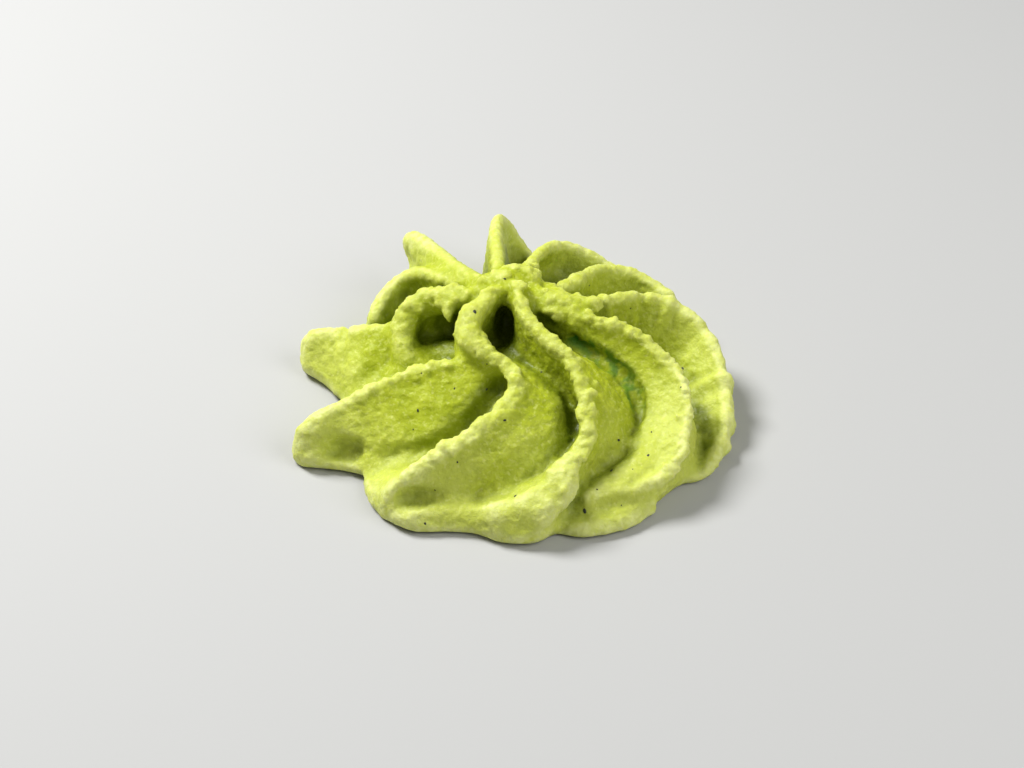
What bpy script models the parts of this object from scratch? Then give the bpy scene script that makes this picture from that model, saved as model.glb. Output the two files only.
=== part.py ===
"""A rosette of wasabi paste, piped through a star nozzle: one soft solid.

Each ridge that the nozzle drew is lofted along its own crest line, rooted in a low mound. All of them
are fused into one body, hollowed where paste curled over, and cut flat underneath.
+Z up. The origin is the middle of the underside. Blender's unit is the metre.
"""

import math

import bmesh
import bpy
import numpy as np
from mathutils import Vector

MM = 0.001
NAME = "wasabi_rosette"

# All lengths below are in millimetres.
CREST_HALF_THICKNESS = 0.55  # a ridge's rounded edge, either side of its crest line
CREST_ANGLES = (75, 40, 0, -40, -75)    # its points, in degrees from straight up
FACE_STEPS = (0.22, 0.48, 0.76, 1.0)    # the points of a face, as shares of the way from crest to belly
BELLY_HEIGHT = 0.8           # a foot is widest at this height
BELLY_TUCK = 0.45            # and tucks in by this much below it
BELOW_TABLE = 1.5            # how far everything runs on down before it is cut flat
CURVE_STEPS = 24             # points worked out between two rows of a ridge
STATION_STEP = 0.85          # from one cross-section of a ridge to the next
ROOT_THINNESS, ROOT_SWELL = 0.6, 1.2    # a ridge's root is this thin, and thickens over this length
TIP_THINNESS, TIP_FADE = 0.75, 1.6      # and so for its outer end
TIP_ROUND = 1.0              # length over which that end rounds off
TIP_DROP = 0.4               # share of its height by which it drops in rounding off
TIP_STATIONS = (0.55, 0.22, 0.04)       # cross-sections of that rounding, as shares of it from the end
OVERHANG_SLOPE = 1.6         # a tip that overhangs is undercut over this many times its overhang

# The low mound under the ridges, turned: radius and height.
MOUND = [(1.0, 5.2), (4.0, 5.0), (6.0, 4.6), (8.0, 3.8), (10.0, 2.8), (11.6, 1.8), (12.4, 1.0), (12.7, 0.4)]
MOUND_SIDES = 36

# The torn knot where the nozzle was pulled away: each lump's centre and radii.
KNOT_LUMPS = [((-0.7, 2.7, 6.6), (1.7, 2.0, 3.3)), ((-0.2, 4.6, 6.4), (1.6, 1.7, 2.4)),
              ((1.4, 2.0, 6.6), (1.5, 1.2, 2.3)), ((3.9, 0.9, 6.6), (1.5, 1.1, 2.1)),
              ((-0.4, -1.6, 4.6), (2.0, 1.6, 1.7))]

# Hollows under curled paste: two below the knot, and one inside the tip of each front left ridge.
HOLLOWS = [((-0.6, 0.9, 6.6), (0.9, 1.7, 1.5)), ((-4.5, 2.1, 5.5), (1.7, 0.9, 1.5)),
           ((-12.1, -7.5, 1.9), (1.7, 1.1, 0.9)), ((-6.6, -12.8, 2.1), (1.9, 1.0, 0.75))]

# Each ridge's crest line, from the knot outwards. A row is a point on it: x, y, its height above the
# table, and how far the foot stands out from it on the clockwise and on the counter-clockwise side.
RIDGES = {
    "left_tongue": [
        (0.6, -3.8, 6.4, 0.8, 3.2), (-1.6, -3.5, 7.1, 1.2, 5.2), (-5.5, -3.6, 6.7, 2.6, 7.4),
        (-8.9, -4.3, 5.8, 3.0, 6.2),
        (-12.3, -5.4, 4.6, 2.4, 3.0), (-14.6, -6.1, 3.6, 1.4, 1.8), (-15.8, -6.6, 1.9, 0.9, 1.2)],
    "left_tongue_lip": [
        (-15.0, -6.3, 1.6, 0.5, 1.0), (-13.4, -6.8, 1.2, 0.5, 1.6), (-10.0, -7.0, 1.4, 0.5, 1.6)],
    "front_left": [
        (-1.2, 1.6, 9.5, 0.8, 1.0), (-3.3, -0.6, 9.0, 0.8, 1.0), (-3.5, -2.4, 8.5, 0.8, 1.0),
        (-2.4, -3.6, 8.0, 0.7, 1.6), (-0.7, -4.4, 7.6, 0.7, 4.6), (0.3, -5.9, 7.1, 0.8, 6.6),
        (-0.3, -7.7, 6.5, 1.2, 5.4), (-2.4, -9.7, 5.8, 2.4, 3.2), (-5.1, -11.0, 5.0, 4.0, 1.9),
        (-7.2, -11.8, 4.1, 4.4, 1.2), (-8.6, -12.3, 3.1, 4.2, 0.9), (-9.2, -12.7, 1.8, 3.4, 0.9)],
    "front_lobe": [
        (-8.4, -12.6, 1.8, 0.9, 1.0), (-6.6, -12.7, 1.8, 1.2, 1.0), (-4.0, -12.6, 1.9, 1.5, 1.2),
        (-1.4, -12.7, 2.4, 2.1, 1.6), (1.2, -12.6, 3.1, 2.6, 1.8), (3.7, -11.9, 3.9, 1.8, 1.4)],
    "front": [
        (0.0, 2.2, 9.8, 0.8, 1.0), (0.8, -0.7, 9.3, 0.8, 1.6), (2.3, -2.8, 8.6, 0.9, 3.0),
        (4.1, -4.3, 7.8, 0.8, 5.2), (5.2, -6.5, 6.8, 0.8, 4.4), (5.1, -9.1, 5.6, 1.6, 1.3),
        (3.7, -11.6, 4.5, 4.4, 0.6), (2.3, -13.3, 3.2, 3.4, 0.5), (1.5, -14.9, 1.7, 1.8, 0.5)],
    "front_right": [
        (1.0, 1.8, 8.7, 1.0, 1.2), (3.6, 0.5, 8.6, 1.2, 1.2), (6.4, -0.4, 8.0, 2.4, 1.3),
        (8.8, -0.9, 7.3, 3.6, 1.3), (11.0, -2.9, 6.1, 4.2, 1.3), (11.9, -5.6, 5.1, 5.3, 1.2),
        (11.5, -8.7, 4.1, 7.4, 0.6), (10.6, -10.5, 3.2, 7.8, 0.3), (8.9, -11.6, 2.7, 6.0, 0.5),
        (6.6, -12.1, 2.5, 4.4, 0.6), (4.2, -12.4, 2.3, 3.2, 0.6), (2.2, -12.8, 1.9, 2.0, 0.6)],
    "front_right_lip": [
        (9.8, -11.8, 1.6, 1.6, 0.7), (7.7, -12.9, 1.5, 2.8, 0.8), (5.6, -13.6, 1.4, 2.8, 0.8),
        (3.0, -14.1, 1.2, 2.0, 0.7)],
    "right": [
        (0.8, 2.4, 8.9, 1.0, 1.2), (3.2, 1.5, 8.4, 1.2, 1.2), (5.4, 2.2, 7.9, 1.5, 1.3),
        (7.4, 3.6, 7.3, 2.2, 1.3), (9.4, 4.6, 6.8, 2.8, 1.3), (11.5, 4.7, 6.0, 3.2, 1.2),
        (13.6, 3.6, 4.9, 3.6, 1.0), (14.8, 1.2, 4.1, 3.8, 0.8), (15.2, -1.6, 3.3, 3.8, 0.7),
        (15.2, -4.4, 2.4, 3.2, 0.7), (14.5, -6.5, 1.6, 2.4, 0.6), (13.1, -7.9, 1.1, 1.4, 0.5),
        (12.0, -8.7, 0.9, 0.8, 0.4)],
    "back_right": [
        (0.8, 2.8, 8.9, 1.0, 1.2), (2.8, 3.4, 8.2, 1.2, 1.4), (4.4, 5.5, 7.4, 1.6, 1.8),
        (6.0, 8.1, 6.5, 2.0, 1.8), (8.3, 9.2, 5.6, 2.4, 1.6), (10.4, 8.8, 4.7, 2.6, 1.3),
        (12.2, 7.4, 3.7, 2.6, 1.1), (13.4, 5.6, 1.8, 2.0, 0.8)],
    "back": [
        (0.2, 3.6, 8.9, 0.8, 1.2), (1.6, 8.0, 7.6, 1.4, 1.8), (2.9, 10.8, 6.8, 2.0, 1.8),
        (4.6, 11.9, 5.7, 2.4, 1.4), (6.8, 11.8, 4.4, 2.6, 1.2), (9.0, 11.2, 2.8, 2.2, 1.0),
        (10.4, 10.4, 1.4, 1.4, 0.6)],
    "back_spike": [
        (-1.0, 3.6, 8.9, 0.9, 1.0), (-1.3, 9.6, 7.7, 1.6, 1.4), (-1.3, 12.6, 7.3, 1.4, 1.1),
        (-0.9, 14.1, 6.9, 1.2, 1.0), (0.2, 14.7, 5.0, 1.2, 1.0), (1.0, 14.6, 3.2, 1.0, 0.8),
        (2.4, 13.6, 2.0, 0.9, 0.8)],
    "back_left": [
        (-1.8, 2.8, 9.0, 0.9, 0.9), (-4.2, 6.6, 7.9, 1.8, 1.6), (-6.1, 10.2, 6.9, 2.2, 2.0),
        (-7.5, 12.4, 6.2, 1.6, 1.6), (-8.4, 13.8, 5.3, 1.0, 1.0)],
    "left_back": [
        (-1.8, 2.6, 8.9, 0.8, 1.0), (-5.0, 6.0, 7.3, 1.4, 1.4), (-7.0, 8.2, 6.3, 1.8, 1.8),
        (-8.3, 8.6, 5.4, 1.8, 2.2), (-9.4, 7.6, 4.9, 1.4, 2.4), (-10.1, 6.2, 4.5, 1.1, 2.4),
        (-10.6, 4.4, 3.8, 1.2, 1.8)],
    "left": [
        (-1.2, 2.0, 9.1, 0.8, 0.9), (-3.8, 2.3, 8.2, 1.2, 1.0), (-6.0, 3.2, 7.4, 1.6, 1.0),
        (-7.4, 3.0, 6.7, 2.0, 1.0), (-8.5, 2.1, 5.9, 2.2, 2.6), (-9.9, 2.4, 5.3, 2.4, 4.0),
        (-11.6, 3.1, 4.8, 2.2, 3.6), (-13.4, 3.7, 4.1, 1.8, 2.4), (-15.0, 4.1, 3.4, 1.2, 1.6),
        (-15.9, 4.1, 2.3, 0.7, 1.2)],
}
# A face is hollow over 1 and full under it: on a ridge's clockwise side, and on its counter-clockwise side.
FACE_BOW = {"front_left": (1.2, 0.55), "front": (1.1, 0.62), "front_right": (0.5, 1.0),
            "front_lobe": (0.55, 1.0), "left_tongue": (1.0, 0.85), "left": (1.0, 0.85)}
PLAIN_BOW = (1.05, 1.05)
BLUNTNESS = {"front_lobe": 3.0, "back_left": 1.3}    # how many times thicker than the rest
TIP_OVERHANG = {"back_left": 4.0}                    # how far the tip reaches out over its own foot

PASTE_GREEN = (0.40, 0.50, 0.065, 1.0)
CUTTER_SIZE = (60.0, 60.0, 10.0)
WELD = 1e-7                  # metres


def smooth_line(rows):
    """A ridge's rows at its cross-sections, on a Catmull-Rom curve through them, and their run along it."""
    rows = np.array(rows, float)
    rows = [2 * rows[0] - rows[1], *rows, 2 * rows[-1] - rows[-2]]
    curve = []
    for before, a, b, after in zip(rows, rows[1:], rows[2:], rows[3:]):
        for t in np.linspace(0, 1, CURVE_STEPS, endpoint=False):
            curve.append(a + (b - before) * t / 2 + (before - 2.5 * a + 2 * b - after / 2) * t ** 2
                         + (3 * a - before - 3 * b + after) * t ** 3 / 2)
    curve = np.array([*curve, rows[-2]])
    run = np.concatenate([[0], np.cumsum(np.linalg.norm(np.diff(curve[:, :3], axis=0), axis=1))])
    before_tip = run[-1] - TIP_ROUND
    even = np.linspace(0, before_tip, round(before_tip / STATION_STEP) + 1)
    stations = np.concatenate([even, run[-1] - TIP_ROUND * np.array(TIP_STATIONS)])
    return np.stack([np.interp(stations, run, column) for column in curve.T], axis=1), stations


def counter_sides(line):
    """At each point of a line, the level unit vector to its counter-clockwise side."""
    onward = np.gradient(line[:, :2], axis=0)
    onward[1:-1] = onward[:-2] + onward[1:-1] + onward[2:]
    onward /= np.linalg.norm(onward, axis=1)[:, None]
    return np.stack([-onward[:, 1], onward[:, 0]], axis=1)


def section(height, half, feet, bows):
    """A ridge's outline as (across, up), from under its clockwise foot over the crest and down again."""
    shoulder = max(height - half, 0.1)
    belly = min(BELLY_HEIGHT, 0.6 * shoulder)

    def side(foot, bow):
        face = [(half + (foot - half) * share ** bow, shoulder + (belly - shoulder) * share)
                for share in FACE_STEPS]
        return [*face, (foot - BELLY_TUCK, 0.0), (foot - BELLY_TUCK, -BELOW_TABLE)]

    turns = [math.radians(angle) for angle in CREST_ANGLES]
    crest = [(-half * math.sin(turn), shoulder + half * math.cos(turn)) for turn in turns]
    clockwise, counter = (side(foot, bow) for foot, bow in zip(feet, bows))
    return [*((-across, up) for across, up in reversed(clockwise)), *crest, *counter]


def new_object(name, bm):
    mesh = bpy.data.meshes.new(name)
    bm.to_mesh(mesh)
    bm.free()
    return bpy.data.objects.new(name, mesh)


def loft(name, rings):
    """A closed solid through the rings, which all have the same number of points."""
    bm = bmesh.new()
    rings = [[bm.verts.new(Vector(point) * MM) for point in ring] for ring in rings]
    for ring, following in zip(rings, rings[1:]):
        for i in range(len(ring)):
            j = (i + 1) % len(ring)
            bm.faces.new((ring[i], ring[j], following[j], following[i]))
    bm.faces.new(rings[0])
    bm.faces.new(rings[-1])
    bmesh.ops.recalc_face_normals(bm, faces=bm.faces)
    return new_object(name, bm)


def grown(start, share):
    return min(1.0, start + (1 - start) * share)


def ridge(name, rows):
    line, stations = smooth_line(rows)
    overhang = TIP_OVERHANG.get(name, 0.0)
    rings = []
    for row, side, station in zip(line, counter_sides(line), stations):
        x, y, height, *feet = row
        to_tip = stations[-1] - station
        roundness = math.sqrt(1 - (1 - min(1.0, to_tip / TIP_ROUND)) ** 2)
        thickness = grown(ROOT_THINNESS, station / ROOT_SWELL) * grown(TIP_THINNESS, to_tip / TIP_FADE)
        half = CREST_HALF_THICKNESS * BLUNTNESS.get(name, 1.0) * thickness
        top = height * (1 - TIP_DROP * (1 - roundness))
        drawn_back = max(0.0, overhang - to_tip / OVERHANG_SLOPE)
        ring = []
        for across, up in section(top, half, feet, FACE_BOW.get(name, PLAIN_BOW)):
            back = drawn_back * (1 - max(up, 0.0) / top)
            ring.append((x + side[0] * across * roundness - side[1] * back,
                         y + side[1] * across * roundness + side[0] * back, up))
        rings.append(ring)
    return loft(name, rings)


def mound():
    edge = MOUND[-1][0] - BELLY_TUCK
    angles = [math.tau * i / MOUND_SIDES for i in range(MOUND_SIDES)]
    profile = [*MOUND, (edge, 0.0), (edge, -BELOW_TABLE)]
    return loft("mound", [[(r * math.cos(a), r * math.sin(a), up) for a in angles] for r, up in profile])


def lump(name, centre, radii):
    bm = bmesh.new()
    bmesh.ops.create_icosphere(bm, subdivisions=2, radius=1.0)
    for vert in bm.verts:
        vert.co = Vector([c + r * u for c, r, u in zip(centre, radii, vert.co)]) * MM
    return new_object(name, bm)


def table():
    bm = bmesh.new()
    bmesh.ops.create_cube(bm, size=1.0)
    for vert in bm.verts:
        vert.co = Vector([size * u for size, u in zip(CUTTER_SIZE, vert.co)]) * MM
        vert.co.z -= CUTTER_SIZE[2] / 2 * MM
    return new_object("table", bm)


def collection(name, objects):
    made = bpy.data.collections.new(name)
    bpy.context.scene.collection.children.link(made)
    for obj in objects:
        made.objects.link(obj)
    return made


def boolean(obj, operation, tools):
    modifier = obj.modifiers.new(tools.name, "BOOLEAN")
    modifier.operation = operation
    modifier.operand_type = "COLLECTION"
    modifier.collection = tools
    modifier.solver = "EXACT"
    modifier.use_self = True


def keep_outer_skin(mesh):
    """Fill the bubbles that the ridges seal in, by deleting all but the largest connected skin."""
    bm = bmesh.new()
    bm.from_mesh(mesh)
    bmesh.ops.remove_doubles(bm, verts=bm.verts, dist=WELD)
    unseen, skins = set(bm.faces), []
    while unseen:
        skin, front = set(), {next(iter(unseen))}
        while front:
            skin |= front
            front = {other for face in front for edge in face.edges for other in edge.link_faces} - skin
        unseen -= skin
        skins.append(skin)
    largest = max(skins, key=len)
    bmesh.ops.delete(bm, geom=[face for face in bm.faces if face not in largest], context="FACES")
    bm.to_mesh(mesh)
    bm.free()


def centre_on_origin(mesh):
    corners = np.array([vert.co for vert in mesh.vertices])
    middle = (corners.min(axis=0) + corners.max(axis=0)) / 2
    for vert in mesh.vertices:
        vert.co -= Vector((middle[0], middle[1], 0.0))


def paste_material():
    material = bpy.data.materials.new("wasabi_paste")
    material.use_nodes = True
    shader = material.node_tree.nodes["Principled BSDF"]
    shader.inputs["Base Color"].default_value = PASTE_GREEN
    shader.inputs["Roughness"].default_value = 0.5
    shader.inputs["Metallic"].default_value = 0.0
    return material


def main():
    for old in list(bpy.data.objects):
        bpy.data.objects.remove(old, do_unlink=True)
    rosette = mound()
    rosette.name = NAME
    collection("piped_wasabi_rosette", [rosette])
    fused = collection("fused", [*(ridge(name, rows) for name, rows in RIDGES.items()),
                                 *(lump("knot_lump", *shape) for shape in KNOT_LUMPS)])
    cut = collection("cut", [table(), *(lump("hollow", *shape) for shape in HOLLOWS)])
    boolean(rosette, "UNION", fused)
    boolean(rosette, "DIFFERENCE", cut)
    mesh = bpy.data.meshes.new_from_object(rosette.evaluated_get(bpy.context.evaluated_depsgraph_get()))
    rosette.modifiers.clear()
    rosette.data = mesh
    for tools in (fused, cut):
        for obj in list(tools.objects):
            bpy.data.objects.remove(obj, do_unlink=True)
        bpy.data.collections.remove(tools)
    keep_outer_skin(mesh)
    centre_on_origin(mesh)
    mesh.name = NAME
    mesh.materials.clear()
    mesh.materials.append(paste_material())
    mesh.shade_smooth()
    mesh.set_sharp_from_angle(angle=math.radians(40))


main()
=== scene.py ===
import math

import bmesh
import bpy
import numpy as np
from mathutils import Matrix, Vector, noise
from mathutils.bvhtree import BVHTree


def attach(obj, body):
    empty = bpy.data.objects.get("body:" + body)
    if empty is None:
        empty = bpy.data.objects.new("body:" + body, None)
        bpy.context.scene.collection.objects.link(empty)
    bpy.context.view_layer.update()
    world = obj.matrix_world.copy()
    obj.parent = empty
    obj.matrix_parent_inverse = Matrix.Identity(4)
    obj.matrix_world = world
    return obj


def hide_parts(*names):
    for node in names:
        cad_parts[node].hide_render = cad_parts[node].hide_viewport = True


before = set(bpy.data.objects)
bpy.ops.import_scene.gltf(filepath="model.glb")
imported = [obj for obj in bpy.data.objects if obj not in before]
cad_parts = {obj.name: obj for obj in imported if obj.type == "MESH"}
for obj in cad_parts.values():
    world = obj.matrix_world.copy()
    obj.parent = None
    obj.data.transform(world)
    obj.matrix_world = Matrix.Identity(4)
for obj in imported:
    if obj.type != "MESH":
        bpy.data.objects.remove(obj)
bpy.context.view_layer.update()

MM = 0.001
NODE = "wasabi_rosette"
FORM_VOXEL = 0.24 * MM        # the skin that the large forms are pushed about on
SKIN_VOXEL = 0.165 * MM       # the finished skin
PRESSED_TOP = 9.6             # what stands higher than this, in millimetres, is pressed down by half
RANDOM = np.random.default_rng(7)
WELD = 1e-4 * MM              # points of the solid closer than this are one
ON_TABLE = 1e-3 * MM          # what lies lower than this rests on the table
TORN_REACH = 3.2              # how far from a line of crumbs the paste is torn
CREST_PERCENTILES = (62, 90)  # of how far the points stand out: where a crest begins, and is full

# The relief of the skin: how high each kind stands, how large it is, and how far it is sunk.
WAVE_HEIGHT, WAVE_SIZE = 0.09, 2.2
TEAR_HEIGHT, TEAR_SIZE, TEAR_SUNK = 0.34, 1.1, 0.06
LUMP_HEIGHT, LUMP_SIZE, LUMP_LEVEL = 0.08, 0.36, 0.8
GRAIN_HEIGHT, GRAIN_SIZE = 0.07, 0.55

# Rays that look for the open sky from each point: how many, how far, from how far off the skin, and
# the turn from each to the next.
SKY_RAYS, SKY_REACH, SKY_START, GOLDEN_ANGLE = 14, 4.0, 0.06, 2.39996

FACE_DARK, FACE_LIGHT = (0.35, 0.415, 0.009), (0.45, 0.515, 0.027)
# Pale paste, laid on random spots and on the crests; on the crests it is partly the paste's own paler crumbs
# and partly a painted highlight.
PALE_DARK, PALE_LIGHT = (0.56, 0.605, 0.09), (0.72, 0.755, 0.24)
# On the next line, the first colour is painted light: the outer ends paler, where light falls on them.
# On the next line, the second colour is a painted glow: pale rims on thin outer crests, as if light shone
# through them.
PAINTED_OUTER_LIGHT, PAINTED_RIM_GLOW = (0.60, 0.655, 0.12), (0.76, 0.79, 0.36)
# On the next line, the first colour is painted shade, laid darker in the creases.
# On the next line, the second colour is painted shade, laid deep in hollows that see little sky; the third is
# the green streak's own colour.
PAINTED_CREASE_SHADE, PAINTED_HOLLOW_SHADE, LEAF_JUICE = (0.22, 0.265, 0.006), (0.11, 0.145, 0.004), (0.004, 0.13, 0.014)
WET, DRY = 0.36, 0.52         # roughness down in the valleys, and in the open

CAMERA_TARGET = Vector((-0.15, -0.44, 1.9)) * MM
CAMERA_RISE = math.radians(40)
CAMERA_DISTANCE = 176 * MM

# Rolls of paste that stick to the solid: points along each, with the radius there.
ROLLS = {
    "drip": [(-4.9, 1.7, 7.9, .6), (-4.75, 1.0, 7.7, .55), (-4.65, .6, 7.4, .46), (-4.6, .3, 7.15, .36)],
    "curl": [(-3.0, 1.8, 8.0, .9), (-4.6, 2.1, 7.6, 1.0), (-6.2, 2.6, 7.1, 1.0), (-7.4, 2.3, 6.4, 1.0),
             (-8.0, 1.5, 5.6, .95), (-7.9, .4, 4.7, .9), (-7.2, -.6, 4.0, .9), (-6.2, -1.2, 3.6, .8)],
    "knot": [(-1.9, 2.3, 8.6, .8), (-1.0, 2.9, 8.8, .9), (.1, 3.4, 8.8, .9), (1.1, 3.2, 8.6, .8)],
    "bridge": [(1.6, 1.6, 8.3, .6), (2.9, 1.4, 8.2, .7), (4.2, 1.0, 8.1, .7), (5.4, 1.2, 7.9, .65)],
    "thread": [(2.2, 3.2, 8.3, .35), (3.2, 2.2, 8.2, .4), (4.2, 1.2, 8.1, .4)],
    "front_left_root": [(-2.0, .4, 8.9, .7), (-2.9, -.9, 8.5, .9), (-3.0, -2.3, 8.0, .9),
                        (-2.2, -3.5, 7.5, .8)],
    "front_right_fill": [(9.6, -8.6, 2.0, 1.4), (8.4, -10.2, 1.8, 1.4), (6.9, -11.3, 1.5, 1.4),
                         (5.2, -12.4, 1.4, 1.2)],
    "left_back_finger": [(-4.8, 5.2, 6.9, .5), (-5.8, 6.2, 6.6, .6), (-7.0, 7.4, 6.0, .65),
                         (-8.1, 7.8, 5.2, .6)],
}

# Strokes over the form, as a finger would make them. A swell raises the skin along its line by the first
# number, or presses it in under 0, and fades out over the second. A drag pulls it by a vector instead.
SWELLS = {
    "front_lobe": (.75, 1.9, [(-1.0, -14.1, 1.6), (1.1, -14.3, 1.8), (2.8, -14.2, 2.6), (3.8, -13.3, 3.2)]),
    "front_lobe_ridge": (-.35, .9, [(-2.4, -13.0, 2.3), (-.3, -12.9, 3.0), (1.8, -12.7, 3.8)]),
    "front_dents": (-.6, .6, [(.7, -10.3, 3.2), (.9, -10.3, 3.2)]),
    "front_dent": (-.6, .55, [(2.0, -10.0, 3.0), (2.3, -10.1, 2.9)]),
    "front_left_crest": (.3, 1.3, [(-3.3, -1.0, 9.0), (-3.5, -2.8, 8.5), (-2.4, -4.0, 8.0), (-.7, -4.8, 7.6),
                                   (.3, -6.3, 7.1), (-.3, -8.1, 6.5), (-2.4, -10.1, 5.8),
                                   (-5.1, -11.4, 5.0)]),
    "front_crest": (.2, 1.1, [(2.3, -3.2, 8.6), (4.1, -4.7, 7.8), (5.2, -6.9, 6.8), (5.1, -9.5, 5.6)]),
    "front_right_crest": (.2, 1.1, [(6.4, -.8, 8.0), (8.8, -1.3, 7.3), (11.0, -3.3, 6.1), (11.9, -6.0, 5.1)]),
    "left_valley": (-.5, 1.1, [(-1.0, -5.4, 6.0), (-1.7, -5.5, 4.7), (-3.1, -7.3, 3.9), (-5.2, -8.4, 3.0),
                               (-6.6, -8.5, 2.6), (-9.0, -8.3, 2.0)]),
    "front_left_valley": (-.5, .9, [(3.6, -5.5, 4.6), (4.4, -7.2, 4.2), (4.3, -8.2, 3.3), (3.2, -9.4, 2.9)]),
    "front_right_valley": (-.6, .8, [(4.1, -1.0, 6.4), (6.2, -2.1, 5.8), (7.4, -2.8, 5.3), (8.4, -3.8, 4.6),
                                     (8.8, -5.4, 3.6), (8.4, -7.2, 2.9)]),
    "front_face": (.35, 1.1, [(6.6, -3.4, 4.7), (7.5, -4.6, 3.9), (7.6, -6.2, 3.2)]),
    "front_right_pit": (.5, 1.1, [(7.5, -8.2, 1.9), (6.8, -9.0, 1.7)]),
    "tongue_pocket": (-.4, 1.1, [(-12.6, -7.3, 1.9), (-11.2, -7.7, 1.9)]),
    "front_left_pocket": (-.5, .8, [(-7.8, -12.5, 2.0), (-5.6, -12.8, 2.1)]),
    "front_left_pocket_floor": (.45, 1.0, [(-7.0, -13.4, 1.5), (-4.8, -13.4, 1.8)]),
    "front_end_fill": (.45, 1.6, [(2.6, -11.6, 4.0), (2.0, -12.8, 3.4), (.9, -13.9, 2.4)]),
    "front_end_valley": (-.6, .6, [(5.6, -10.9, 1.9), (4.4, -12.9, 2.1), (3.3, -14.5, 1.6)]),
    "back_hollow": (-1.0, 2.0, [(2.3, 7.7, 5.4), (3.5, 9.8, 4.5)]),
    "left_face": (.5, 2.2, [(-7.9, 1.2, 4.3), (-8.3, -.4, 3.7), (-9.8, .4, 3.4), (-11.2, 0, 2.5)]),
    "under_curl_bump": (.35, .8, [(-5.2, .8, 4.8), (-5.0, .8, 4.8)]),
    "under_curl_dent": (-.5, .7, [(-5.4, -.6, 4.7), (-4.6, -1.0, 4.9)]),
    "back_left_tip": (.2, 1.5, [(-8.3, 13.4, 5.3), (-7.0, 11.6, 6.0)]),
}
DRAGS = {
    "front_overhang": ((-.5, 0, .05), 1.1, [(4.4, -5.2, 7.6), (5.1, -6.8, 6.7), (5.0, -8.5, 5.9)]),
    "front_left_overhang": ((-.35, .25, 0), 1.0, [(.2, -6.0, 7.1), (-.4, -8.0, 6.5), (-2.4, -9.9, 5.8)]),
    "front_cliff": ((.4, -.05, .05), .9, [(5.3, -10.0, 5.2), (4.3, -12.3, 4.2), (3.3, -13.7, 2.9)]),
    "front_right_cliff": ((.45, .1, 0), 1.0, [(11.0, -3.2, 6.0), (11.9, -6.0, 5.1), (11.6, -9.0, 4.1),
                                              (10.7, -11.2, 2.9)]),
    "front_foot": ((0, -.4, 0), 2.2, [(-.8, -15.2, .3), (1.4, -15.7, .3)]),
    "front_right_foot": ((.15, -.35, 0), 1.8, [(5.0, -14.8, .2), (8.0, -13.9, .2)]),
    "front_left_foot": ((.15, 0, 0), 1.6, [(-10.6, -10.8, .5), (-10.3, -12.6, .4)]),
    "right_end": ((.2, -.5, 0), 1.8, [(12.4, -9.1, .5), (13.4, -8.2, .6)]),
    "spike_notch": ((-.5, 0, -.2), .8, [(1.2, 14.0, 4.0), (1.2, 13.6, 3.4)]),
    "back_left_foot": ((.4, 0, .1), 1.3, [(-8.3, 11.4, 4.2), (-8.8, 10.4, 3.2)]),
    "left_notch": ((0, 0, -.75), .8, [(-12.5, 3.4, 4.5), (-12.5, 2.6, 4.0)]),
}

# Where the form is evened out: how far round the line, and how many times.
SOFT_SPOTS = {
    "tongue_pocket": (2.0, 20, [(-13.4, -7.2, 1.9), (-10.6, -7.8, 1.9)]),
    "front_left_pocket": (2.3, 40, [(-8.3, -12.3, 2.2), (-4.8, -12.8, 2.0)]),
    "front_right_foot": (1.3, 30, [(6.6, -9.2, 1.6), (5.8, -10.4, 1.6)]),
    "front_right_face": (1.6, 20, [(9.4, -9.4, 3.2), (7.2, -11.4, 2.9)]),
    "knot_floor": (1.5, 30, [(-1.0, -1.2, 6.2), (.2, -1.8, 6.0)]),
    "curl_hollow": (2.6, 60, [(-5.6, 2.0, 5.4), (-3.4, 1.8, 5.4)]),
    "knot_hollow": (1.6, 12, [(-.6, -.4, 7.0), (-.6, -.6, 5.6)]),
    "left_root": (2.0, 20, [(-8.0, 1.0, 4.2), (-6.4, -.4, 4.3)]),
}

# Crumbs where the paste tore: how many, the smallest and largest radius, how far they scatter, and a line.
CRUMBS = {
    "knot": (150, .2, .6, 2.2, [(-2.2, 1.8, 8.8), (-.8, 2.6, 9.1), (.6, 3.4, 9.0), (1.4, 4.4, 8.4)]),
    "bridge": (110, .18, .5, 1.5, [(1.6, 1.8, 8.6), (3.4, .9, 8.4), (5.8, .6, 8.2), (7.4, .2, 7.9)]),
    "curl": (90, .18, .5, 1.3, [(-3.0, 1.9, 8.8), (-5.0, 2.5, 8.4), (-6.8, 2.7, 7.8), (-7.8, 1.8, 7.0)]),
    "front": (110, .15, .36, 1.5, [(1.0, -1.4, 9.3), (2.3, -3.2, 8.7), (4.1, -4.7, 7.9), (5.1, -6.9, 6.9),
                                   (5.1, -9.5, 5.7), (3.8, -12.1, 4.5), (2.4, -13.8, 3.2)]),
    "front_right": (90, .15, .34, 1.3, [(6.4, -.8, 8.1), (8.8, -1.3, 7.4), (11.0, -3.3, 6.2),
                                         (12.0, -6.0, 5.2), (11.7, -9.1, 4.2), (10.7, -11.0, 3.0)]),
    "front_left": (60, .15, .32, 1.4, [(-3.5, -2.0, 8.8), (-2.4, -4.0, 8.2), (-.7, -4.8, 7.8),
                                      (.2, -6.3, 7.2), (-.4, -8.1, 6.6), (-2.4, -10.1, 5.9),
                                      (-5.1, -11.4, 5.1)]),
    "tongue": (50, .15, .3, 1.0, [(-3.5, -3.9, 7.1), (-5.5, -4.0, 6.8), (-8.9, -4.7, 5.9),
                                 (-11.0, -5.3, 5.2)]),
}

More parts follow.
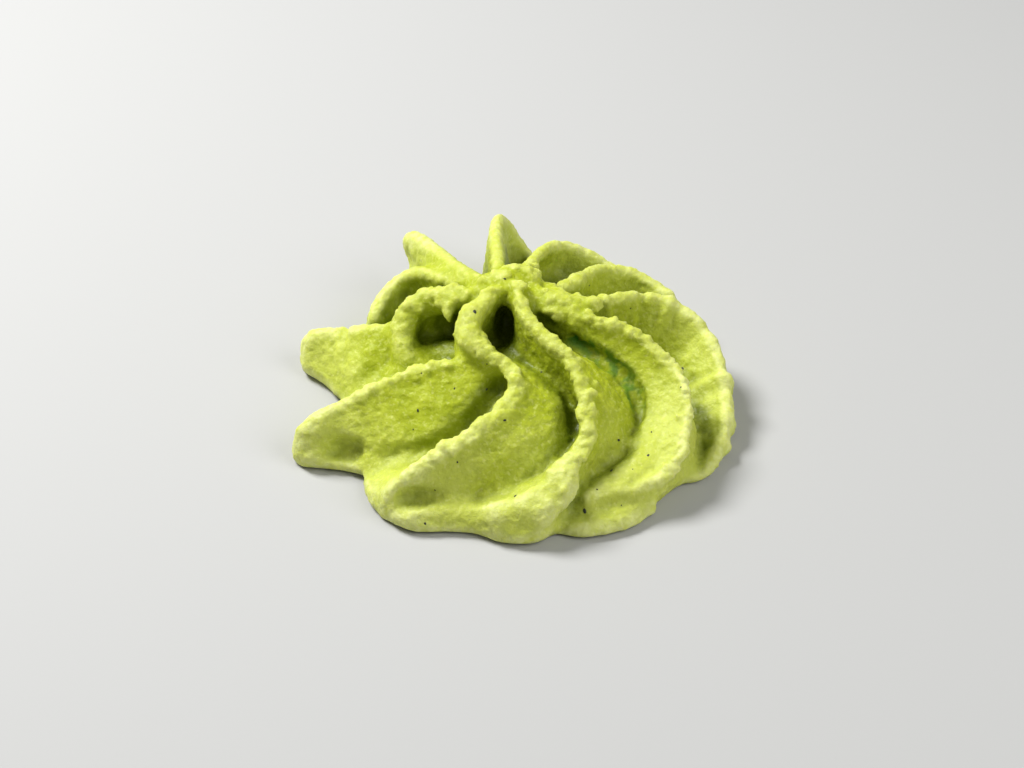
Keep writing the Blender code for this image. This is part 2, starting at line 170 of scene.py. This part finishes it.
# Ripples across a ridge's face: their height, how far apart they are, how far they reach, and the crest line.
RIPPLES = {
    "tongue": (.09, .55, 4.5, [(-3.5, -3.9, 7.1), (-5.5, -4.0, 6.8), (-8.9, -4.7, 5.9), (-12.3, -5.8, 4.6)]),
    "left": (.09, .6, 4.5, [(-7.8, 2.4, 7.0), (-8.5, 1.9, 6.0), (-9.9, 2.0, 5.3), (-11.6, 2.7, 4.8),
                            (-15.0, 3.7, 3.4)]),
    "right": (.2, 1.1, 4.5, [(5.4, 1.8, 7.9), (7.4, 3.2, 7.3), (9.4, 4.2, 6.8), (11.5, 4.3, 6.0),
                              (13.6, 3.2, 4.9), (14.8, .8, 4.1), (15.2, -2.0, 3.3), (15.2, -4.8, 2.4),
                              (14.5, -6.9, 1.6)]),
    "back_right": (.12, 1.5, 2.5, [(4.4, 5.1, 7.4), (6.0, 7.7, 6.5), (8.3, 8.8, 5.6), (10.4, 8.4, 4.7),
                                   (12.2, 7.0, 3.7)]),
    "back": (.10, 1.7, 2.5, [(1.6, 7.6, 7.6), (2.9, 10.4, 6.8), (4.6, 11.5, 5.7), (6.8, 11.4, 4.4)]),
}

# Where leaf juice ran green into the paste.
GREEN_STREAK = [(4.3, -1.0, 6.5), (6.2, -2.1, 5.9), (7.4, -2.8, 5.3), (8.3, -3.8, 4.6), (8.6, -4.8, 4.0)]

# Dark flecks of root skin: where each lies, and its radius.
FLECKS = [
    (-3.0, -1.2, 8.7, .13), (-.7, 2.0, 9.6, .08), (-3.7, 2.1, 7.9, .08), (-5.7, 3.0, 7.4, .07),
    (-1.9, -4.7, 7.3, .06), (-6.5, -4.4, 6.2, .06), (5.5, 6.0, 6.0, .07), (8.5, 3.2, 6.0, .06),
    (12.2, .9, 2.4, .10), (2.0, -3.7, 5.6, .08), (-4.1, -5.2, 5.4, .07), (-2.0, -5.1, 5.3, .09),
    (-6.8, -6.3, 4.3, .10), (-2.8, -7.3, 4.0, .07), (-7.0, -7.3, 3.4, .06), (-.7, -9.1, 5.9, .09),
    (-3.9, -11.5, 4.3, .08), (-5.4, -12.4, 2.5, .07), (.1, -13.6, 2.9, .12), (-6.1, -14.1, .9, .10),
    (4.6, -8.0, 5.2, .08), (7.5, -8.2, 3.4, .12), (9.7, -7.5, 3.2, .06), (9.3, -9.6, 2.7, .11),
    (6.7, -10.7, 2.8, .13), (8.2, -10.6, 2.0, .06), (5.7, -12.4, 2.4, .06), (4.7, -13.8, 1.7, .14),
    (11.8, -5.0, 5.4, .06), (7.4, -13.1, 1.6, .05),
]


def bent_line(points, step=0.15):
    """Evenly spaced points in metres on a smooth curve through the given ones, in millimetres.

    A fourth number in the rows, a radius, is carried along the curve in the same way.
    """
    rows = np.array(points, float)
    rows = np.vstack([2 * rows[0] - rows[1], rows, 2 * rows[-1] - rows[-2]])
    curve = []
    for before, a, b, after in zip(rows, rows[1:], rows[2:], rows[3:]):
        count = max(2, int(np.linalg.norm((b - a)[:3]) / step))
        t = np.linspace(0, 1, count, endpoint=False)[:, None]
        curve.append(a + (b - before) * t / 2 + (before - 2.5 * a + 2 * b - after / 2) * t ** 2
                     + (3 * a - before - 3 * b + after) * t ** 3 / 2)
    return np.vstack([*curve, rows[-2]]) * MM


# ---------------------------------------------------------------- meshes
def placed(name, data):
    """A new object in the scene."""
    thing = bpy.data.objects.new(name, data)
    bpy.context.scene.collection.objects.link(thing)
    return thing


def mesh_of(shape, name):
    """A new mesh from the bmesh, which is freed."""
    mesh = bpy.data.meshes.new(name)
    shape.to_mesh(mesh)
    shape.free()
    return mesh


def bmesh_of(mesh):
    shape = bmesh.new()
    shape.from_mesh(mesh)
    return shape


def tree_of(mesh):
    """The mesh's faces, ready to be searched."""
    return BVHTree.FromPolygons([v.co for v in mesh.vertices], [p.vertices for p in mesh.polygons])


def add_ball(shape, radius, matrix):
    bmesh.ops.create_icosphere(shape, subdivisions=2, radius=radius, matrix=matrix)


def facing(direction):
    """A turn that brings Z to the direction."""
    return direction.to_track_quat("Z", "Y").to_matrix().to_4x4()


def remeshed(mesh, voxel):
    """A new mesh: the outside of the mesh's bodies, all grown together."""
    body = placed("remeshing", mesh)
    remesh = body.modifiers.new("skin", "REMESH")
    remesh.mode, remesh.voxel_size, remesh.adaptivity = "VOXEL", voxel, 0
    bpy.context.view_layer.update()
    done = bpy.data.meshes.new_from_object(body.evaluated_get(bpy.context.evaluated_depsgraph_get()))
    bpy.data.objects.remove(body)
    return done


def raw_paste():
    """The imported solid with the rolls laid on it, as one mesh of overlapping closed bodies."""
    shape = bmesh_of(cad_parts[NODE].data)
    bmesh.ops.remove_doubles(shape, verts=shape.verts, dist=WELD)
    for points in ROLLS.values():
        for x, y, z, radius in bent_line(points, 0.3):
            add_ball(shape, radius, Matrix.Translation((x, y, z)))
    return mesh_of(shape, "raw_paste")


def crumbly(mesh):
    """The mesh with the crumbs stuck to it, still as overlapping closed bodies."""
    tree = tree_of(mesh)
    shape = bmesh_of(mesh)
    for count, small, large, scatter, points in CRUMBS.values():
        line = bent_line(points)
        for _ in range(count):
            near_line = Vector(line[RANDOM.integers(len(line))] + RANDOM.normal(0, scatter / 2, 3) * MM)
            radius = RANDOM.uniform(small, large) * MM
            place, normal = tree.find_nearest(near_line)[:2]
            centre = place + normal * radius * RANDOM.uniform(-.85, -.2)
            turn = facing(Vector(RANDOM.normal(size=3)))
            stretch = Matrix.Diagonal((*RANDOM.uniform(.7, 1.3, 3), 1))
            add_ball(shape, radius, Matrix.Translation(centre) @ turn @ stretch)
    return mesh_of(shape, "crumbly")


def flat_below(mesh):
    """The mesh with its underside, which lies on the table, as few faces."""
    shape = bmesh_of(mesh)
    under = [face for face in shape.faces if max(vert.co.z for vert in face.verts) < ON_TABLE]
    bmesh.ops.dissolve_faces(shape, faces=under, use_verts=True)
    bmesh.ops.triangulate(shape, faces=[face for face in shape.faces if len(face.verts) > 4])
    return mesh_of(shape, "flat_below")


class Skin:
    """The points of a mesh, and who neighbours whom, as arrays."""

    def __init__(self, mesh):
        self.mesh = mesh
        self.count = len(mesh.vertices)
        self.co = np.empty(self.count * 3, np.float32)
        mesh.vertices.foreach_get("co", self.co)
        self.co = self.co.reshape(-1, 3).astype(float)
        edges = np.empty(len(mesh.edges) * 2, np.int32)
        mesh.edges.foreach_get("vertices", edges)
        self.ends = edges.reshape(-1, 2)
        self.valence = np.bincount(self.ends.ravel(), minlength=self.count)[:, None]

    def put(self):
        self.mesh.vertices.foreach_set("co", self.co.astype(np.float32).ravel())
        self.mesh.update()

    def normals(self):
        self.put()
        n = np.empty(self.count * 3, np.float32)
        self.mesh.vertex_normals.foreach_get("vector", n)
        return n.reshape(-1, 3).astype(float)

    def around(self, values):
        """The mean of each point's neighbours."""
        a, b = self.ends.T
        total = np.stack([np.bincount(a, column[b], self.count) + np.bincount(b, column[a], self.count)
                          for column in values.T], axis=1)
        return total / self.valence

    def spread(self, values, steps):
        """Values on the points, evened out over their neighbours."""
        flat = values.ndim == 1
        values = values[:, None] if flat else values
        for _ in range(steps):
            values = values + (self.around(values) - values) * 0.5
        return values[:, 0] if flat else values

    def smooth(self, steps):
        self.co = self.spread(self.co, steps)

    def swell(self, steps):
        """How far each point stands out of its surroundings, in millimetres: under 0 in a hollow."""
        return ((self.co - self.spread(self.co, steps)) * self.normals()).sum(1) / MM


# ---------------------------------------------------------------- values on the points
def openness(mesh, co, normal):
    """How much of the sky each point sees: 0 deep in a hole, 1 in the open."""
    tree = tree_of(mesh)
    start = co + normal * SKY_START * MM
    seen, total = np.zeros(len(co)), np.zeros(len(co))
    for k in range(SKY_RAYS):
        rise, turn = (k + 0.5) / SKY_RAYS, k * GOLDEN_ANGLE
        flat = math.sqrt(1 - rise * rise)
        way = np.array((flat * math.cos(turn), flat * math.sin(turn), rise))
        share = np.clip(normal @ way, 0, 1)
        total += share
        ray, free = Vector(way), np.zeros(len(co))
        for i in np.nonzero(share > 0.05)[0]:
            if tree.ray_cast(Vector(start[i]), ray, SKY_REACH * MM)[0] is None:
                free[i] = 1
        seen += share * free
    return seen / np.maximum(total, 0.5)


def smoothstep(low, high, x):
    t = np.clip((x - low) / (high - low), 0, 1)
    return t * t * (3 - 2 * t)


def near(co, points, radius):
    """1 on the line through the points, fading to 0 at the radius (millimetres)."""
    nearest = np.full(len(co), np.inf)
    for p in bent_line(points, 0.2):
        nearest = np.minimum(nearest, ((co - p) ** 2).sum(1))
    return 1 - smoothstep(0, radius, np.sqrt(nearest) / MM)


def along(co, points):
    """How far each point is from the line through the given ones, and how far along, in millimetres."""
    line = bent_line(points, 0.1)
    run = np.concatenate([[0], np.cumsum(np.linalg.norm(np.diff(line, axis=0), axis=1))])
    nearest, run_there = np.full(len(co), np.inf), np.zeros(len(co))
    for p, r in zip(line, run):
        gap = ((co - p) ** 2).sum(1)
        run_there[gap < nearest] = r
        nearest = np.minimum(nearest, gap)
    return np.sqrt(nearest) / MM, run_there / MM


def lumps(co, size, seed):
    """Rounded grains, each 0 at its edge and 1 on its top."""
    shift = Vector((seed * 3.1, seed * 1.7, seed * 2.3))
    scale = 1 / (size * MM)
    cells = np.array([noise.voronoi(Vector(p) * scale + shift)[0][:2] for p in co])
    return 1 - np.clip(cells[:, 0], 0, 1) ** 2


def creased(co, size, seed):
    """Rounded lumps of all sizes with creases between them, from 0 in a crease up to about 1."""
    shift = Vector((seed * 4.7, seed * 6.1, seed * 3.7))
    scale = 1 / (size * MM)
    return np.array([noise.turbulence(Vector(p) * scale + shift, 3, True) for p in co])


def waves(co, size, seed, octaves=2):
    """Soft noise between about -1 and 1."""
    shift = Vector((seed * 5.3, seed * 2.9, seed * 4.1))
    scale = 1 / (size * MM)
    return np.array([noise.fractal(Vector(p) * scale + shift, 0.6, 2.0, octaves) for p in co])


# ---------------------------------------------------------------- the paste's shape
def soft_form():
    """The solid and the rolls grown together, with the large forms pushed into place."""
    mesh = remeshed(raw_paste(), FORM_VOXEL)
    skin = Skin(mesh)
    skin.smooth(3)
    for lift, radius, points in SWELLS.values():
        skin.co = skin.co + skin.normals() * (near(skin.co, points, radius) * lift * MM)[:, None]
    for way, radius, points in DRAGS.values():
        skin.co = skin.co + near(skin.co, points, radius)[:, None] * np.array(way) * MM
    for radius, steps, points in SOFT_SPOTS.values():
        evened = skin.spread(skin.co, steps) - skin.co
        skin.co = skin.co + evened * near(skin.co, points, radius)[:, None]
    skin.smooth(2)
    skin.put()
    return mesh


def ripples(skin):
    total = np.zeros(skin.count)
    for height, pitch, reach, points in RIPPLES.values():
        away, run = along(skin.co, points)
        steps = np.array([noise.noise(Vector((r / pitch, height * 100, 0))) for r in run])
        total += height * skin.spread(steps, 3) * (1 - smoothstep(reach * .4, reach, away)) * 2
    return total


def raise_relief(skin, crest):
    """Raises waves, ripples, torn crests, lumps and grain on the skin, and presses its top down."""
    co, normal = skin.co, skin.normals()
    standing = smoothstep(0.1, 0.6, co[:, 2] / MM)
    torn = np.zeros(skin.count)
    for *_, points in CRUMBS.values():
        torn = np.maximum(torn, near(co, points, TORN_REACH))
    lift = standing * (WAVE_HEIGHT * waves(co, WAVE_SIZE, 3) + ripples(skin)
                       + torn * crest * (TEAR_HEIGHT * creased(co, TEAR_SIZE, 1) - TEAR_SUNK)
                       + LUMP_HEIGHT * (lumps(co, LUMP_SIZE, 2) - LUMP_LEVEL)
                       + GRAIN_HEIGHT * waves(co, GRAIN_SIZE, 5, 3))
    skin.co = co + normal * (lift * MM)[:, None]
    height = skin.co[:, 2] / MM
    height[height < 0.05] = 0
    pressed = PRESSED_TOP + (height - PRESSED_TOP) / 2
    skin.co[:, 2] = np.where(height > PRESSED_TOP, pressed, height) * MM
    skin.put()


def values_for_material(skin, crest):
    co = skin.co
    outwards = np.hypot(co[:, 0], co[:, 1]) / MM
    return {
        "crest": crest,
        "green": near(co, GREEN_STREAK, 1.15) * smoothstep(-.2, .2, waves(co, .8, 9)),
        # How much sky each point sees; the material paints shade where it sees little, and makes the paste
        # glossier there.
        "openness": skin.spread(openness(skin.mesh, co, skin.normals()), 6),
        # How deep a point lies in a crease, where the material paints shade into the colour.
        "crease": smoothstep(0.03, 0.30, -skin.spread(skin.swell(30), 2)),
        # How far out a point lies, which the material uses to paint light: paler outer ends and glowing thin
        # rims.
        "outer": smoothstep(8, 15, outwards + 2.5 * waves(co, 3.5, 11)),
    }


def piped_paste():
    mesh = remeshed(crumbly(soft_form()), SKIN_VOXEL)
    skin = Skin(mesh)
    skin.smooth(2)
    stands_out = skin.spread(skin.swell(70), 5)
    crest = smoothstep(*np.percentile(stands_out, CREST_PERCENTILES), stands_out)
    raise_relief(skin, crest)
    for name, values in values_for_material(skin, crest).items():
        layer = mesh.attributes.new(name, "FLOAT", "POINT")
        layer.data.foreach_set("value", values.astype(np.float32))
    mesh = flat_below(mesh)
    for polygon in mesh.polygons:
        polygon.use_smooth = True
    return placed("piped_paste", mesh)


# ---------------------------------------------------------------- materials
def plain_material(name, colour, roughness):
    made = bpy.data.materials.new(name)
    made.use_nodes = True
    shader = made.node_tree.nodes["Principled BSDF"]
    shader.inputs["Base Color"].default_value = (*colour, 1)
    shader.inputs["Roughness"].default_value = roughness
    return made, shader


def paste_material():
    made, shader = plain_material("wasabi_paste_fresh", (0.4, 0.5, 0.05), 0.5)
    nodes, link = made.node_tree.nodes, made.node_tree.links.new
    place = nodes.new("ShaderNodeTexCoord").outputs["Object"]

    def feed(value, socket):
        """Links a node's output to the socket, or sets the socket to a colour or a number."""
        if hasattr(value, "links"):
            link(value, socket)
        else:
            socket.default_value = (*value, 1) if isinstance(value, tuple) else value

    def attribute(name):
        node = nodes.new("ShaderNodeAttribute")
        node.attribute_name = name
        return node.outputs["Fac"]

    def mix(factor, a, b):
        node = nodes.new("ShaderNodeMix")
        node.data_type = "RGBA"
        feed(factor, node.inputs[0])
        feed(a, node.inputs[6])
        feed(b, node.inputs[7])
        return node.outputs[2]

    def product(a, b):
        node = nodes.new("ShaderNodeMath")
        node.operation = "MULTIPLY"
        feed(a, node.inputs[0])
        feed(b, node.inputs[1])
        return node.outputs[0]

    def ranged(value, low, high, to_low=0.0, to_high=1.0):
        ramp = nodes.new("ShaderNodeMapRange")
        for name, number in (("From Min", low), ("From Max", high), ("To Min", to_low), ("To Max", to_high)):
            ramp.inputs[name].default_value = number
        link(value, ramp.inputs["Value"])
        return ramp.outputs["Result"]

    def speckle(size, detail):
        texture = nodes.new("ShaderNodeTexNoise")
        texture.inputs["Scale"].default_value = 1 / (size * MM)
        texture.inputs["Detail"].default_value = detail
        link(place, texture.inputs["Vector"])
        return texture.outputs["Fac"]

    def cloud(size, detail, low, high):
        return ranged(speckle(size, detail), low, high)

    crest, outer, sky = attribute("crest"), attribute("outer"), attribute("openness")
    colour = mix(cloud(1.4, 3, 0.35, 0.65), FACE_DARK, FACE_LIGHT)
    # Painted light: paler towards the outer ends.
    colour = mix(product(outer, 0.7), colour, PAINTED_OUTER_LIGHT)
    pale = mix(cloud(0.5, 2, 0.3, 0.7), PALE_DARK, PALE_LIGHT)
    colour = mix(product(cloud(0.3, 1, 0.54, 0.70), 0.45), colour, pale)
    # Paler on the crests: partly the paste's own paler crumbs, partly a painted highlight where light falls
    # on them.
    colour = mix(product(crest, 0.5), colour, pale)
    # Painted glow: pale rims on the thin outer crests, as if light shone through the paste.
    painted_rim_glow = product(product(crest, outer), cloud(0.6, 2, 0.3, 0.6))
    colour = mix(product(painted_rim_glow, 0.45), colour, PAINTED_RIM_GLOW)
    # Painted shade: darker in the creases.
    colour = mix(product(attribute("crease"), 0.6), colour, PAINTED_CREASE_SHADE)
    # Painted shade: darker deep in hollows that see little sky.
    colour = mix(ranged(sky, 0.88, 0.30), colour, PAINTED_HOLLOW_SHADE)
    link(mix(attribute("green"), colour, LEAF_JUICE), shader.inputs["Base Color"])
    shader.inputs["Subsurface Weight"].default_value = 0.35
    shader.inputs["Subsurface Radius"].default_value = (1.0, 0.9, 0.25)
    shader.inputs["Subsurface Scale"].default_value = 1.0 * MM
    shader.inputs["Specular IOR Level"].default_value = 0.25
    link(ranged(sky, 0.3, 0.85, WET, DRY), shader.inputs["Roughness"])
    bump = nodes.new("ShaderNodeBump")
    bump.inputs["Strength"].default_value = 0.6
    bump.inputs["Distance"].default_value = 0.10 * MM
    link(speckle(0.2, 2), bump.inputs["Height"])
    link(bump.outputs["Normal"], shader.inputs["Normal"])
    return made


# ---------------------------------------------------------------- pieces
paste = piped_paste()
paste.data.materials.append(paste_material())
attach(paste, "root")
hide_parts(NODE)


def dark_flecks():
    """Tiny flat flecks, each sunk in the paste's skin."""
    tree = tree_of(paste.data)
    shape = bmesh.new()
    for x, y, z, radius in FLECKS:
        place, normal = tree.find_nearest(Vector((x, y, z)) * MM)[:2]
        spin = Matrix.Rotation(RANDOM.uniform(0, math.tau), 4, "Z")
        long, wide = RANDOM.uniform(1.0, 1.5), RANDOM.uniform(.7, 1.0)
        flattened = Matrix.Diagonal((long, wide, .5, 1))
        add_ball(shape, radius * MM, Matrix.Translation(place) @ facing(normal) @ spin @ flattened)
    flecks = placed("dark_flecks", mesh_of(shape, "dark_flecks"))
    flecks.data.materials.append(plain_material("fleck_skin", (0.018, 0.024, 0.006), 0.55)[0])
    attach(flecks, "root")


dark_flecks()


# ---------------------------------------------------------------- table, light and camera
def pale_table():
    plane = bmesh.new()
    bmesh.ops.create_grid(plane, x_segments=1, y_segments=1, size=0.6)
    table = placed("pale_table", mesh_of(plane, "pale_table"))
    table.data.materials.append(plain_material("pale_table", (0.46, 0.46, 0.45), 0.8)[0])


def aimed(thing, place, target):
    thing.location = place
    thing.rotation_mode = "QUATERNION"
    thing.rotation_quaternion = (Vector(target) - Vector(place)).to_track_quat("-Z", "Y")


def soft_light(name, place, size, power):
    light = bpy.data.lights.new(name, "AREA")
    light.shape, light.size, light.energy = "DISK", size, power
    aimed(placed(name, light), place, (0, 0, 0.003))


pale_table()
soft_light("window", (-0.13, 0.08, 0.20), 0.10, 0.88)
soft_light("side_fill", (0.15, -0.08, 0.16), 0.16, 0.25)
world = bpy.data.worlds.new("soft_room")
world.use_nodes = True
background = world.node_tree.nodes["Background"]
background.inputs["Color"].default_value = (0.85, 0.86, 0.86, 1)
background.inputs["Strength"].default_value = 0.25
bpy.context.scene.world = world
bpy.context.scene.view_settings.view_transform = "Standard"

lens = bpy.data.cameras.new("camera")
lens.lens, lens.sensor_width, lens.clip_start = 85, 36, 0.01
camera = placed("camera", lens)
towards_camera = Vector((0, -math.cos(CAMERA_RISE), math.sin(CAMERA_RISE)))
aimed(camera, CAMERA_TARGET + CAMERA_DISTANCE * towards_camera, CAMERA_TARGET)
bpy.context.scene.camera = camera
